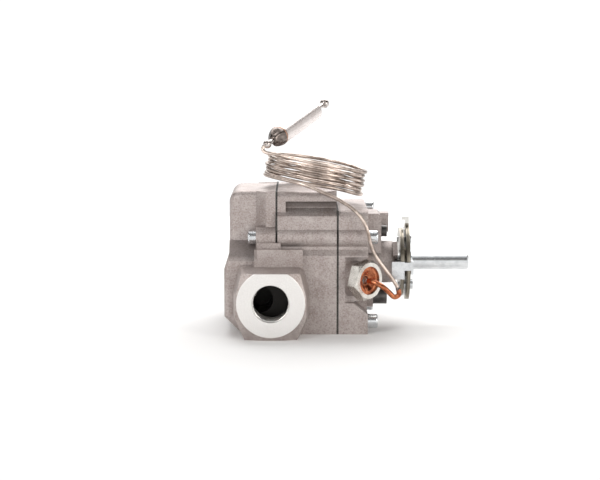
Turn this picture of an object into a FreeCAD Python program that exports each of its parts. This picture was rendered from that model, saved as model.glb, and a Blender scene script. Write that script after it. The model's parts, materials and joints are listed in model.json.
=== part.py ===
import FreeCAD
import Part
import Sketcher
import math
import os
import re

# Thermostatic gas valve with a remote liquid-filled bulb, in millimetres.
# Origin: centre of the inlet's mouth. +Y runs along the gas pipe, +X out along the dial shaft, +Z up.
# The manifold casting carries the pipe, the middle housing holds the valve, and the front cover
# holds the dial shaft and the bulb's expansion capsule. A capillary joins the capsule to the bulb.

Vector = FreeCAD.Vector
doc = FreeCAD.newDocument("GasValve")
sheet = doc.addObject("Spreadsheet::Sheet", "sizes")

SIZES = {
    # pipe and bosses
    "pipe_length": 78.0,
    "boss_half": 13.8,
    "boss_foot": 14.5,
    "boss_foot_half": 10.0,
    "boss_low": 6.0,
    "boss_high": 2.5,
    "boss_top": 11.7,
    "boss_top_half": 11.3,
    "boss_length": 13.7,
    "boss_taper": 6.0,
    "face_ring_r": 13.2,
    "bore_r": 7.4,
    "bore_depth": 12.0,
    "passage_r": 5.4,
    "passage_back": 4.6,
    "passage_end": 30.0,
    "passage_half": 5.0,
    "near_window_y": 18.0,
    "far_window_y": 50.0,
    "window_width": 10.0,
    # casting envelope
    "base_z": -14.5,
    "near_y": 14.0,
    "far_y": 64.0,
    "middle_y": 39.0,
    "block_near_y": 17.0,
    "block_far_y": 61.0,
    "body_top": 42.0,
    "bulge_back": -18.7,
    "bulge_foot": 7.0,
    "bulge_high": 11.5,
    "block_back": -16.7,
    "block_foot": 17.5,
    "block_face_y": 21.6,
    "bulge_top": 22.3,
    "block_round": 4.5,
    "corner_round": 2.5,
    "bulge_round": 2.0,
    "shoulder_z": 17.0,
    "step_z": 19.2,
    "step_depth": 1.5,
    "neck_half": 6.6,
    "neck_width": 19.2,
    "neck_low": 8.0,
    "neck_high": 19.8,
    "neck_root": 12.0,
    "root_width": 6.0,
    "root_rise": -2.0,
    "slab_thick": 2.7,
    "manifold_face": 1.7,
    "gasket": 0.8,
    "housing_back": 2.5,
    "housing_front": 25.9,
    "cover_back": 26.7,
    "cover_front": 38.3,
    "cover_top": 34.7,
    "undercut_back": 5.7,
    "undercut_slope": 32.5,
    "undercut_low": 35.5,
    "undercut_high": 38.2,
    "undercut_depth": 5.0,
    # screws
    "rib_y": 18.5,
    "rib_z": 23.8,
    "rib_r": 4.5,
    "lug_back": -6.0,
    "lug_front": 3.8,
    "rear_reach": 16.0,
    "screw_r": 1.75,
    "head_r": 2.75,
    "head_height": 3.3,
    "slot_width": 0.9,
    "slot_depth": 1.2,
    "rear_low_y": 32.0,
    "rear_low_z": -10.2,
    "front_low_z": -10.0,
    "front_far_z": 31.3,
    "washer_r": 2.9,
    "washer_height": 0.8,
    "screw_reach": 17.0,
    # shaft axis and inner parts
    "axis_z": 11.1,
    "shaft_r": 3.175,
    "shaft_end": 80.4,
    "flat_height": 5.56,
    "stem_boss_r": 8.6,
    "stem_boss_front": 50.2,
    "bushing_r": 5.6,
    "bushing_bore": 3.5,
    "journal_r": 3.45,
    "turning_gap": 0.02,
    "flange_thick": 1.0,
    "clamp_r": 1.2,
    "clamp_head_r": 2.0,
    "bracket_near": 20.8,
    "bracket_low": 8.4,
    "bracket_back": 48.1,
    "tab_width": 4.4,
    "adjuster_root": 32.8,
    "cap_r": 3.4,
    "cap_bore": 2.6,
    "cap_seat": 41.3,
    "running_gap": 0.05,
    "pin_gap": 0.06,
    "journal_end": 57.4,
    "shaft_back": 36.4,
    "shaft_collar_r": 4.5,
    "clip_x": 50.45,
    "clip_thick": 0.7,
    "bushing_back": 38.0,
    "chamber_r": 15.0,
    "chamber_back": 15.0,
    "rear_chamber_r": 9.0,
    "seat_back": 12.0,
    "seat_r": 7.0,
    "seat_bore": 5.2,
    "guide_r": 6.0,
    "guide_back": -6.0,
    "stem_r": 1.5,
    "disc_r": 7.6,
    "disc_x": 15.1,
    # expansion capsule
    "capsule_r": 13.0,
    "capsule_x": 26.6,
    "hub_r": 5.0,
    "hub_front": 33.4,
    "thread_r": 3.0,
    "pin_r": 1.0,
    "pin_offset": 10.0,
    "adjuster_back": 30.8,
    "hub_hole_back": 29.0,
    "spring_back": -1.4,
    "spring_front": 14.4,
    "spring_r": 3.6,
    "wire_r": 0.6,
    "spring_turns": 6.0,
    # gland
    "gland_z": 7.5,
    "gland_sum": 50.0,
    "gland_floor": 15.3,
    "gland_collar": 21.3,
    "gland_face": 27.8,
    "collar_r": 7.0,
    "nut_flats": 14.3,
    "nut_bore": 5.6,
    "cup_deep": 23.4,
    "pocket_low": -2.0,
    "pocket_high": 16.4,
    "pocket_left": 29.3,
    "gland_thread_r": 4.6,
    # adjusters on the cover
    "pilot_z": -3.0,
    "bypass_r": 1.6,
    "bypass_y": 34.0,
    "bypass_z": 24.5,
    "seal_r": 2.35,
    # dial hardware
    "inner_plate_x": 51.9,
    "inner_plate_r": 14.0,
    "plate_thick": 1.5,
    "stop_width": 7.2,
    "stop_angle": 42.0,
    "stop_pin_r": 1.0,
    "stop_pin_circle": 7.0,
    "stop_pin_angle": 172.0,
    "outer_plate_x": 54.3,
    "outer_plate_r": 15.4,
    # capillary and bulb
    "capillary_r": 0.7,
    "sleeve_r": 1.0,
    "coil_r": 20.0,
    "coil_band": 2.6,
    "coil_height": 9.8,
    "coil_x": 17.6,
    "coil_z": 48.4,
    "coil_tilt": 9.6,
    "bulb_r": 3.95,
    "bulb_length": 38.2,
    "shoulder_at": 5.3,
    "cone_length": 4.5,
    "shoulder_length": 6.0,
    "bead_r": 1.7,
    "tip_r": 2.0,
    "tip_reach": 10.9,
    "neck_r": 0.9,
}


def fill_sheet():
    """One row per driving dimension: its name in column A and its aliased value in column B."""
    for row, (name, number) in enumerate(SIZES.items(), 1):
        sheet.set(f"A{row}", name)
        sheet.set(f"B{row}", str(number))
        sheet.setAlias(f"B{row}", name)
    doc.recompute()


def formula(text):
    """The text as an expression in which each name is a cell of the sheet."""
    return re.sub(r"[a-z]\w+", lambda word: "sizes." + word.group(), text)


def size(name):
    return float(sheet.get(name))


AXES = {
    "Z": FreeCAD.Rotation(),
    "X": FreeCAD.Rotation(Vector(0, 1, 0), 90),
    "-X": FreeCAD.Rotation(Vector(0, 1, 0), -90),
    "Y": FreeCAD.Rotation(Vector(1, 0, 0), -90),
    "-Y": FreeCAD.Rotation(Vector(1, 0, 0), 90),
    "gland": FreeCAD.Rotation(Vector(0, 0, 1), Vector(1, -1, 0)),
    "gland_in": FreeCAD.Rotation(Vector(0, 0, 1), Vector(-1, 1, 0)),
    "nut": FreeCAD.Rotation(Vector(0.22, 0.22, 0.95), Vector(), Vector(1, -1, 0), "ZXY"),
}


def place(thing, at, axis="Z"):
    """Turns the object's own Z to an axis and binds its position to three formulas."""
    thing.Placement = FreeCAD.Placement(Vector(), AXES[axis])
    for letter, text in zip("xyz", at):
        thing.setExpression(f"Placement.Base.{letter}", formula(text))
    return thing


def bind(thing, **formulas):
    for prop, text in formulas.items():
        thing.setExpression(prop, formula(text))
    return thing


# Part primitives and booleans

def cylinder(name, radius, length, at, axis="Z"):
    thing = bind(doc.addObject("Part::Cylinder", name), Radius=radius, Height=length)
    return place(thing, at, axis)


def box(name, length, width, height, at):
    thing = bind(doc.addObject("Part::Box", name), Length=length, Width=width, Height=height)
    return place(thing, at)


def cone(name, start, end, length, at, axis="Z"):
    thing = bind(doc.addObject("Part::Cone", name), Radius1=start, Radius2=end, Height=length)
    return place(thing, at, axis)


def fuse(name, things):
    joined = doc.addObject("Part::MultiFuse", name)
    joined.Shapes = things
    joined.Refine = True
    return joined


def cut(name, base, tool):
    left = doc.addObject("Part::Cut", name)
    left.Base = base
    left.Tool = tool
    return left


def group(name, things):
    """Separate identical pieces that share one node."""
    together = doc.addObject("Part::Compound", name)
    together.Links = things
    return together


def labelled(name, thing):
    thing.Label = name
    PIECES.append(thing)
    return thing


PIECES = []


# PartDesign bodies

def new_body(name):
    body = doc.addObject("PartDesign::Body", name + "_body")
    return labelled(name, body)


def plane(body, role):
    return next(f for f in body.Origin.OriginFeatures if f.Role == role)


def sketch_on(body, name, role, offset):
    sketch = body.newObject("Sketcher::SketchObject", name)
    sketch.AttachmentSupport = [(plane(body, role), "")]
    sketch.MapMode = "FlatFace"
    sketch.setExpression("AttachmentOffset.Base.z", formula(offset))
    doc.recompute()
    return sketch


def number(text):
    """The present value of a formula, for a sketch's starting geometry."""
    return float(sheet.evalExpression(formula(text)))


def fix_point(sketch, name, element, vertex, across, up):
    """Ties a sketch point to the sketch's origin by two formulas."""
    for kind, text in (("DistanceX", across), ("DistanceY", up)):
        index = sketch.addConstraint(
            Sketcher.Constraint(kind, -1, 1, element, vertex, number(text)))
        sketch.renameConstraint(index, f"{name}_{kind}")
        sketch.setExpression(f"Constraints.{name}_{kind}", formula(text))


def outline(body, name, role, offset, corners):
    """A closed sketch of straight lines; each corner is a pair of formulas."""
    sketch = sketch_on(body, name, role, offset)
    points = [Vector(number(a), number(b), 0) for a, b in corners]
    count = len(points)
    for i in range(count):
        sketch.addGeometry(Part.LineSegment(points[i], points[(i + 1) % count]), False)
    for i in range(count):
        sketch.addConstraint(Sketcher.Constraint("Coincident", i, 2, (i + 1) % count, 1))
    for i, (across, up) in enumerate(corners):
        fix_point(sketch, f"corner{i}", i, 1, across, up)
    return sketch


def pad(body, sketch, length, reverse=False, taper=None):
    feature = body.newObject("PartDesign::Pad", sketch.Name + "_pad")
    feature.Profile = sketch
    feature.Reversed = reverse
    feature.setExpression("Length", formula(length))
    if taper:
        feature.setExpression("TaperAngle", formula(taper))
    sketch.Visibility = False
    doc.recompute()
    return feature


def pocket(body, sketch, depth, reverse=False):
    """Cuts a sketch out of the body, and checks that it met material."""
    before = body.Shape.Volume
    feature = body.newObject("PartDesign::Pocket", sketch.Name + "_pocket")
    feature.Profile = sketch
    feature.Reversed = reverse
    feature.setExpression("Length", formula(depth))
    doc.recompute()
    assert body.Shape.Volume < before - 0.5, feature.Name + " cuts nothing"
    return feature


def carve(body, kind, at, axis="Z", **formulas):
    """A subtractive PartDesign primitive, checked to meet material."""
    before = body.Shape.Volume
    feature = body.newObject("PartDesign::Subtractive" + kind, f"{body.Name}_{kind.lower()}_cut")
    place(bind(feature, **formulas), at, axis)
    doc.recompute()
    assert body.Shape.Volume < before - 0.5, feature.Name + " cuts nothing"
    return feature


def add(body, kind, at, axis="Z", **formulas):
    feature = body.newObject("PartDesign::Additive" + kind, f"{body.Name}_{kind.lower()}")
    place(bind(feature, **formulas), at, axis)
    doc.recompute()
    return feature


def on_any(value, places, within=0.1):
    return any(abs(value - place) < within for place in places)


def dress_edges(body, kind, prop, value, wanted):
    """A fillet or chamfer on the edges that the test picks out by their middle and shape."""
    base = body.Tip
    names = []
    for i, edge in enumerate(base.Shape.Edges, 1):
        first, last = edge.ParameterRange
        middle = edge.valueAt((first + last) / 2)
        if wanted(middle, edge):
            names.append(f"Edge{i}")
    assert names, body.Name + " has no such edges"
    feature = body.newObject("PartDesign::" + kind, body.Name + "_" + kind.lower())
    feature.Base = (base, names)
    feature.setExpression(prop, formula(value))
    doc.recompute()
    return feature


def round_edges(body, radius, wanted):
    return dress_edges(body, "Fillet", "Radius", radius, wanted)


def bevel_edges(body, width, wanted):
    """Chamfers the edges of a body that wanted picks."""
    return dress_edges(body, "Chamfer", "Size", width, wanted)


def mirrored(text):
    """The same place on the far side of the shaft's plane."""
    return f"2 * middle_y - ({text})"


# Castings

def casting_outline(top):
    """The near-side edge of a housing's section across the shaft, from the base up to its top."""
    return [
        ("near_y", "base_z"), ("near_y", "shoulder_z"), ("near_y + step_depth", "step_z"),
        ("near_y + step_depth", top),
    ]


def rear_outline():
    """The near-side edge at the rear parting face, which narrows again under the block."""
    return casting_outline("undercut_slope") + [
        ("block_near_y", "undercut_slope + step_depth"), ("block_near_y", "body_top"),
    ]


def both_sides(points):
    """A near-side edge joined to its mirror image."""
    return points + [(mirrored(across), up) for across, up in reversed(points)]


def add_ribs(body, start, length):
    """Round ribs that carry the long clamping screws along both sides."""
    for side in ("rib_y", mirrored("rib_y")):
        add(body, "Cylinder", (start, side, "rib_z"), "X", Radius="rib_r", Height=length)


def manifold():
    """The pipe casting: a block with a bulge at its foot, two bosses and their passages."""
    body = new_body("rear_body")
    foot = [
        ("manifold_face", "base_z"), ("bulge_back + bulge_foot", "base_z"),
        ("bulge_back", "base_z + bulge_foot"), ("bulge_back", "bulge_high"),
        ("block_back", "block_foot"),
    ]
    block = outline(body, "block_outline", "XZ_Plane", "-(" + mirrored("block_face_y") + ")",
                    foot + [("block_back", "body_top"), ("manifold_face", "body_top")])
    pad(body, block, mirrored("block_face_y") + " - block_face_y")
    back, top = size("block_back"), size("body_top")
    faces = (size("block_face_y"), number(mirrored("block_face_y")))
    round_edges(body, "block_round", lambda p, e: p.x < back + 0.1 and p.z > top - 1)
    round_edges(body, "corner_round",
                lambda p, e: p.x < back + 2 and on_any(p.y, faces, 1.5) and p.z > size("block_foot"))
    bulge = outline(body, "bulge_outline", "XZ_Plane", "-far_y",
                    foot + [("block_back", "bulge_top"), ("manifold_face", "bulge_top")])
    pad(body, bulge, "far_y - near_y")
    sides = (size("near_y"), size("far_y"))
    bevel_edges(body, "block_face_y - near_y - 0.1",
                lambda p, e: on_any(p.y, sides) and p.z > size("bulge_top") - 0.1)
    round_edges(body, "bulge_round", lambda p, e: on_any(p.y, sides) and p.x < back + 4)
    flange = [
        ("manifold_face", "block_near_y"), ("lug_back + 4", "block_near_y"),
        ("lug_back", "block_face_y"), ("manifold_face", "block_face_y"),
    ]
    for name, corners in (("near", flange), ("far", [(x, mirrored(y)) for x, y in flange])):
        pad(body, outline(body, name + "_flange", "XY_Plane", "shoulder_z", corners),
            "body_top - shoulder_z")
    for name, offset, reverse in (("inlet", "0", True), ("outlet", "-pipe_length", False)):
        add_boss(body, name, offset, reverse)
    for root, slab in (("near_y - root_width", "near_y - 3"), ("far_y", "far_y + 0.3")):
        add(body, "Box", ("-neck_root", root, "-neck_root"), Length="manifold_face + neck_root",
            Width="root_width", Height="2 * neck_root + root_rise")
        add(body, "Box", ("-neck_half", slab, "neck_low"), Length="neck_width", Width="slab_thick",
            Height="neck_high - neck_low")
        add(body, "Box", ("-neck_half", slab, "neck_low"), Length="manifold_face + neck_half",
            Width="slab_thick + 0.3", Height="neck_high - neck_low")
    for side in ("rib_y", mirrored("rib_y")):
        add(body, "Cylinder", ("lug_back", side, "rib_z"), "X", Radius="rib_r",
            Height="manifold_face - lug_back")
    add(body, "Box", ("lug_back", "near_y", "shoulder_z"), Length="lug_front - lug_back", Width="3",
        Height="5")
    carve(body, "Box", ("-40", "-10", "base_z - 10"), Length="80", Width="100", Height="10")
    for mouth, axis, root in (("0", "Y", "bore_depth"), ("pipe_length", "-Y", "pipe_length - bore_depth")):
        carve(body, "Cylinder", ("0", mouth, "0"), axis, Radius="bore_r", Height="bore_depth")
        carve(body, "Cylinder", ("-passage_back", root, "0"), axis, Radius="passage_r",
              Height="passage_end - bore_depth")
    for window in ("near_window_y", "far_window_y"):
        carve(body, "Box", ("-passage_back", window, "-passage_half"), Length="passage_back + 3",
              Width="window_width", Height="2 * passage_half")
    carve(body, "Cylinder", ("guide_back", "middle_y", "axis_z"), "X", Radius="guide_r", Height="9")
    for y, z in REAR_SCREWS:
        carve(body, "Cylinder", ("lug_back - 9", y, z), "X", Radius="screw_r", Height="20")
    for y, z in REAR_SCREWS[2:]:
        carve(body, "Cylinder", ("bulge_back - 1", y, z), "X", Radius="head_r + 0.5",
              Height="lug_back - bulge_back + 1")
    turn_boss_faces(body)


def add_boss(body, name, offset, reverse):
    """A tapered boss, square at the top and rounded below, at one end of the pipe."""
    right = [
        ("boss_foot_half", "-boss_foot"), ("boss_half", "-boss_low"), ("boss_half", "boss_high"),
        ("boss_top_half", "boss_top"),
    ]
    left = [("-" + across, up) for across, up in reversed(right)]
    pad(body, outline(body, name + "_boss", "XZ_Plane", offset, right + left), "boss_length", reverse,
        "boss_taper")
    middle = size("boss_length") / 2
    middle = middle if reverse else size("pipe_length") - middle

    def runs_along(p, e):
        return abs(p.y - middle) < 0.5 and e.BoundBox.YLength > 10 and abs(p.x) > 9

    round_edges(body, "5", lambda p, e: runs_along(p, e) and p.z < size("boss_high") + 2 and p.z > -10)
    round_edges(body, "1.5", lambda p, e: runs_along(p, e) and p.z > size("boss_high") + 4)


def turn_boss_faces(body):
    """Turned chamfers that leave a round machined face on each boss."""
    for name, face, back in (("inlet", "0", "2.4"), ("outlet", "pipe_length", "pipe_length - 2.4")):
        ring = outline(body, name + "_chamfer", "YZ_Plane", "0", [
            (face, "face_ring_r"), (face, "face_ring_r + 4.5"), (back, "face_ring_r + 4.5"),
        ])
        before = body.Shape.Volume
        groove = body.newObject("PartDesign::Groove", name + "_groove")
        groove.Profile = ring
        groove.ReferenceAxis = (ring, ["H_Axis"])
        groove.Angle = 360
        doc.recompute()
        assert body.Shape.Volume < before - 0.5, groove.Name + " cuts nothing"


REAR_SCREWS = [
    ("rib_y", "rib_z"), ("2 * middle_y - rib_y", "rib_z"),
    ("rear_low_y", "rear_low_z"), ("2 * middle_y - rear_low_y", "rear_low_z"),
]
FRONT_SCREWS = [
    ("rib_y", "rib_z"), ("rib_y", "front_low_z"),
    ("2 * middle_y - rib_y", "front_low_z"), ("2 * middle_y - rib_y", "front_far_z"),
]


def housing():
    """The middle casting: the valve chambers, an undercut near its top and the side ribs."""
    body = new_body("middle_housing")
    section = outline(body, "housing_section", "YZ_Plane", "housing_back", both_sides(rear_outline()))
    pad(body, section, "housing_front - housing_back")
    near = [
        ("near_y + step_depth", "undercut_slope"), ("near_y + undercut_depth", "undercut_low"),
        ("near_y + undercut_depth", "undercut_high"), ("near_y", "undercut_high"),
        ("near_y", "undercut_slope"),
    ]
    for name, corners in (("near", near), ("far", [(mirrored(a), b) for a, b in near])):
        undercut = outline(body, name + "_undercut", "YZ_Plane", "undercut_back", corners)
        pocket(body, undercut, "housing_front - undercut_back", reverse=True)
    round_edges(body, "3", lambda p, e: p.z > 41.9 and e.Length > 20 and abs(p.y - size("middle_y")) > 21)
    add_ribs(body, "housing_back", "housing_front - housing_back")
    carve(body, "Box", ("housing_back - 1", "near_y - 1", "16"), Length="2.3", Width="4", Height="6")
    carve(body, "Cylinder", ("chamber_back", "middle_y", "axis_z"), "X", Radius="chamber_r",
          Height="20")
    carve(body, "Cylinder", ("housing_back - 1", "middle_y", "axis_z"), "X",
          Radius="rear_chamber_r", Height="seat_back - housing_back + 1")
    carve(body, "Cylinder", ("seat_back - 1", "middle_y", "axis_z"), "X", Radius="seat_r",
          Height="5")
    carve(body, "Box", ("housing_back - 1", "18", "-5"), Length="8", Width="21", Height="10")
    carve(body, "Box", ("housing_back - 1", "50", "-5"), Length="21", Width="10", Height="10")
    for y, z in REAR_SCREWS:
        carve(body, "Cylinder", ("housing_back - 1", y, z), "X", Radius="screw_r", Height="11")
    for y, z in FRONT_SCREWS:
        carve(body, "Cylinder", ("housing_front - 9", y, z), "X", Radius="screw_r", Height="12")
    return body


def cover():
    """The front casting: capsule cavity, stem boss, adjuster bosses and the angled gland pocket."""
    body = new_body("front_cover")
    section = outline(body, "cover_section", "YZ_Plane", "cover_back",
                      both_sides(casting_outline("cover_top")))
    pad(body, section, "cover_front - cover_back")
    round_edges(body, "3.5", lambda p, e: p.z > 34.6 and e.Length > 10 and abs(p.y - size("middle_y")) > 20)
    add_ribs(body, "cover_back", "cover_front - cover_back")
    flank = outline(body, "pocket_plan", "XY_Plane", "pocket_low", [
        ("pocket_left", "near_y"), ("pocket_left - 3", "near_y - 3"), ("cover_front + 3", "near_y - 3"),
        ("cover_front + 3", "cover_front + 3 - gland_floor"),
    ])
    pocket(body, flank, "pocket_high - pocket_low", reverse=True)
    slope = outline(body, "pocket_slope", "XZ_Plane", "-(near_y + 10)", [
        ("pocket_left + 3.2", "pocket_low + 0.1"), ("cover_front + 1", "pocket_low + 0.1"),
        ("cover_front + 1", "pocket_low - 5.4"),
    ])
    pocket(body, slope, "12", reverse=True)
    collar_start = gland_point("gland_floor - 1", "gland_z")
    add(body, "Cylinder", collar_start, "gland", Radius="collar_r",
        Height="(gland_collar - gland_floor + 1) / 2 ^ 0.5")
    carve(body, "Box", ("cover_back", "near_y - 3", "pocket_low"), Length="pocket_left - cover_back",
          Width="3", Height="pocket_high - pocket_low")
    add(body, "Cylinder", ("cover_front - 2", "middle_y", "axis_z"), "X", Radius="stem_boss_r",
        Height="stem_boss_front - cover_front + 2")
    round_edges(body, "2", lambda p, e: abs(p.x - size("stem_boss_front")) < 0.01)
    add(body, "Box", ("cover_front - 2", "29", "16"), Length="7.9", Width="17", Height="16")
    round_edges(body, "2", lambda p, e: abs(p.x - 44.2) < 0.01 and abs(p.z - 32) < 0.01)
    add(body, "Box", ("cover_front", "40", "23.3"), Length="9.3", Width="6", Height="7.7")
    add(body, "Cylinder", ("cover_front - 1", "middle_y", "pilot_z"), "X", Radius="4.6",
        Height="4")
    carve(body, "Cylinder", ("cover_back - 1", "middle_y", "axis_z"), "X", Radius="chamber_r",
          Height="8.6")
    carve(body, "Cylinder", ("cover_back", "middle_y", "axis_z"), "X", Radius="bushing_r",
          Height="30")
    carve(body, "Cylinder", gland_point("gland_collar + 2", "gland_z"), "gland_in", Radius="2.6",
          Height="18")
    carve(body, "Cylinder", gland_point("gland_collar + 2", "gland_z"), "gland_in",
          Radius="gland_thread_r", Height="7")
    stop = add(body, "Box", ("stem_boss_front - 1", "middle_y", "axis_z"), Length="1.9",
               Width="stop_width", Height="2.4")
    place_stop(stop)
    carve(body, "Box", ("cover_back + 0.8", "18.6", "4"), Length="5", Width="8", Height="7")
    for y, z in FRONT_SCREWS:
        carve(body, "Cylinder", ("cover_back - 1", y, z), "X", Radius="screw_r + 0.1", Height="14")
    for y in PIN_PLACES:
        carve(body, "Cylinder", ("cover_front - 6", y, "axis_z"), "X", Radius="pin_r", Height="5")
    carve(body, "Cylinder", ("cover_front - 6", "bypass_y", "bypass_z"), "X",
          Radius="bypass_r + running_gap", Height="14")
    carve(body, "Cylinder", ("42.2", "bypass_y", "bypass_z"), "X", Radius="seal_r + running_gap",
          Height="4")
    carve(body, "Cylinder", ("cover_front - 6", "middle_y", "pilot_z"), "X",
          Radius="bypass_r + running_gap", Height="14")
    return body


def place_stop(stop):
    """Turns the stop tab on the stem boss's face to the middle of the dial's dead sector."""
    turn = FreeCAD.Rotation(Vector(1, 0, 0), size("stop_angle"))
    corner = turn.multVec(Vector(0, -size("stop_width") / 2, size("bushing_r") + 0.3))
    stop.setExpression("Placement.Base.y", f"sizes.middle_y + {corner.y}")
    stop.setExpression("Placement.Base.z", f"sizes.axis_z + {corner.z}")
    stop.Placement = FreeCAD.Placement(stop.Placement.Base, turn)
    doc.recompute()


def gland_point(along, up):
    """A point on the gland's axis, which leaves the near front corner at 45 degrees in plan.
    x - y is the given value there, and x + y stays the same all along it."""
    return (f"(gland_sum + ({along})) / 2", f"(gland_sum - ({along})) / 2", up)


PIN_PLACES = ("middle_y - pin_offset", "middle_y + pin_offset")


def gaskets():
    """Flat fibre gaskets with the castings' outlines, cut away round the gas ways."""
    for name, start, top, screws in (
        ("rear_gasket", "manifold_face", "body_top", REAR_SCREWS),
        ("front_gasket", "housing_front", "cover_top", FRONT_SCREWS),
    ):
        body = new_body(name)
        edge = rear_outline() if name == "rear_gasket" else casting_outline(top)
        pad(body, outline(body, name + "_section", "YZ_Plane", start, both_sides(edge)), "gasket")
        for y, z in screws:
            carve(body, "Cylinder", (start + " - 1", y, z), "X", Radius="screw_r + 0.3", Height="3")
        if name == "rear_gasket":
            carve(body, "Box", (start + " - 1", "near_y - 1", "15"), Length="3", Width="4.2",
                  Height="7")
            carve(body, "Cylinder", (start + " - 1", "middle_y", "axis_z"), "X",
                  Radius="rear_chamber_r", Height="3")
            for window in ("near_window_y", "far_window_y"):
                carve(body, "Box", (start + " - 1", window, "-passage_half"), Length="3",
                      Width="window_width", Height="2 * passage_half")
        else:
            carve(body, "Cylinder", (start + " - 1", "middle_y", "axis_z"), "X",
                  Radius="chamber_r", Height="3")


# Fasteners

def screw(name, seat, y, z, reach, washer="0"):
    """A slotted fillister-head screw; its head sits on +X of its seat, or on -X if reach is negative."""
    forward = not reach.startswith("-")
    axis = "X" if forward else "-X"
    sign = "+" if forward else "-"
    start = f"{seat} {sign} ({washer})"
    head = cylinder(name + "_head", "head_r", "head_height", (start, y, z), axis)
    shank = cylinder(name + "_shank", "screw_r", f"{reach.lstrip('-')} + ({washer})", (start, y, z),
                     "-X" if forward else "X")
    crown = f"{start} {sign} head_height"
    slot_start = f"{crown} - slot_depth" if forward else crown
    slot = box(name + "_slot", "slot_depth", "slot_width", "3 * head_r",
               (slot_start, f"{y} - slot_width / 2", f"{z} - 1.5 * head_r"))
    whole = fuse(name + "_blank", [head, shank])
    doc.recompute()
    rounded = doc.addObject("Part::Fillet", name + "_round")
    rounded.Base = whole
    top = number(crown)
    rim = [i for i, e in enumerate(whole.Shape.Edges, 1)
           if abs(e.BoundBox.XMin - top) < 0.01 and e.BoundBox.XLength < 0.01]
    rounded.Edges = [(i, 0.7, 0.7) for i in rim]
    return cut(name, rounded, slot)


def screws():
    """The clamping screws: rear ones pull forwards, front ones pull backwards through lock washers."""
    rear = [screw(f"rear_screw_{i}", "lug_back", y, z, "-rear_reach")
            for i, (y, z) in enumerate(REAR_SCREWS)]
    labelled("rear_screws", group("rear_screw_set", rear))
    front = [screw(f"front_screw_{i}", "cover_front", y, z, "screw_reach", "washer_height")
             for i, (y, z) in enumerate(FRONT_SCREWS)]
    labelled("front_screws", group("front_screw_set", front))
    washers = []
    for i, (y, z) in enumerate(FRONT_SCREWS):
        ring = cylinder(f"washer_{i}_disc", "washer_r", "washer_height", ("cover_front", y, z), "X")
        hole = cylinder(f"washer_{i}_hole", "screw_r + running_gap", "washer_height + 2",
                        ("cover_front - 1", y, z), "X")
        split = box(f"washer_{i}_split", "washer_height + 2", "0.5", "washer_r + 1",
                    ("cover_front - 1", f"{y} - 0.25", z))
        washers.append(cut(f"washer_{i}", cut(f"washer_{i}_ring", ring, hole), split))
    labelled("lock_washers", group("washer_set", washers))


def ring(name, outer, inner, start, length, at=("middle_y", "axis_z")):
    """A plain ring along X."""
    disc = cylinder(name + "_outer", outer, length, (start, *at), "X")
    hole = cylinder(name + "_inner", inner, f"{length} + 2", (f"{start} - 1", *at), "X")
    return cut(name + "_ring", disc, hole)


# Valve parts on the shaft's axis

def seat_and_guide():
    """The pressed-in seat with its raised lip, and the bush that guides the stem."""
    flange = ring("seat_base", "seat_r", "seat_bore", "seat_back", "2")
    lip = ring("seat_lip", "seat_bore + 0.9", "seat_bore", "seat_back + 2", "1")
    labelled("valve_seat", fuse("seat_join", [flange, lip]))
    labelled("stem_guide", ring("guide", "guide_r", "stem_r + running_gap", "guide_back", "4"))


def valve():
    """The poppet: a metal disc with a rubber facing, a stem and a domed button."""
    facing = ring("facing", "disc_r - 0.6", "stem_r", "disc_x", "1.2")
    labelled("valve_facing", facing)
    disc = cylinder("disc_plate", "disc_r", "1.6", ("disc_x + 1.2", "middle_y", "axis_z"), "X")
    hub = cylinder("disc_hub", "2.8", "4.4", ("disc_x + 2", "middle_y", "axis_z"), "X")
    labelled("valve_disc", fuse("disc_join", [disc, hub]))
    labelled("valve_stem", cylinder("stem", "stem_r", "disc_x + 1.2 + 5",
                                    ("-5", "middle_y", "axis_z"), "X"))


def spring():
    """The coil spring that opens the valve, from the guide's face to the disc's back."""
    wire, radius = size("wire_r"), size("spring_r")
    length = size("spring_front") - size("spring_back") - 2 * wire
    path = Part.makeLongHelix(length / size("spring_turns"), length, radius)
    section = Part.Wire([Part.makeCircle(wire, Vector(radius, 0, 0), Vector(0, 1, 0))])
    thing = doc.addObject("Part::Feature", "spring_coil")
    thing.Shape = Part.Wire(path.Edges).makePipeShell([section], True, True)
    thing.Placement = FreeCAD.Placement(
        Vector(size("spring_back") + wire, size("middle_y"), size("axis_z")), AXES["X"])
    labelled("valve_spring", thing)


def capsule():
    """The bulb's expansion capsule: two welded plates, a thrust button and a threaded hub."""
    back = cylinder("capsule_disc", "capsule_r", "2", ("capsule_x + 1.6", "middle_y", "axis_z"), "X")
    hub = cylinder("capsule_hub", "hub_r", "hub_front - capsule_x - 3",
                   ("capsule_x + 3", "middle_y", "axis_z"), "X")
    thread = cylinder("capsule_thread", "thread_r", "10", ("hub_hole_back", "middle_y", "axis_z"), "X")
    holes = [cylinder(f"capsule_pin_hole_{i}", "pin_r + pin_gap", "12", ("capsule_x", y, "axis_z"), "X")
             for i, y in enumerate(PIN_PLACES)]
    blank = fuse("capsule_blank", [back, hub])
    bores = fuse("capsule_bores", [thread, *holes])
    labelled("capsule_plate", cut("capsule_plate_cut", blank, bores))
    dish = cylinder("diaphragm_disc", "capsule_r", "0.8", ("capsule_x + 0.8", "middle_y", "axis_z"), "X")
    crown = cone("diaphragm_crown", "6.5", "9.5", "0.8", ("capsule_x", "middle_y", "axis_z"), "X")
    pins = fuse("diaphragm_pin_holes", [
        cylinder(f"diaphragm_pin_hole_{i}", "pin_r + pin_gap", "12", ("capsule_x", y, "axis_z"), "X")
        for i, y in enumerate(PIN_PLACES)])
    labelled("capsule_diaphragm", cut("diaphragm_cut", fuse("diaphragm_join", [dish, crown]), pins))
    labelled("thrust_button", cylinder("button", "4", "capsule_x - 21.6",
                                       ("21.6", "middle_y", "axis_z"), "X"))


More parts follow.
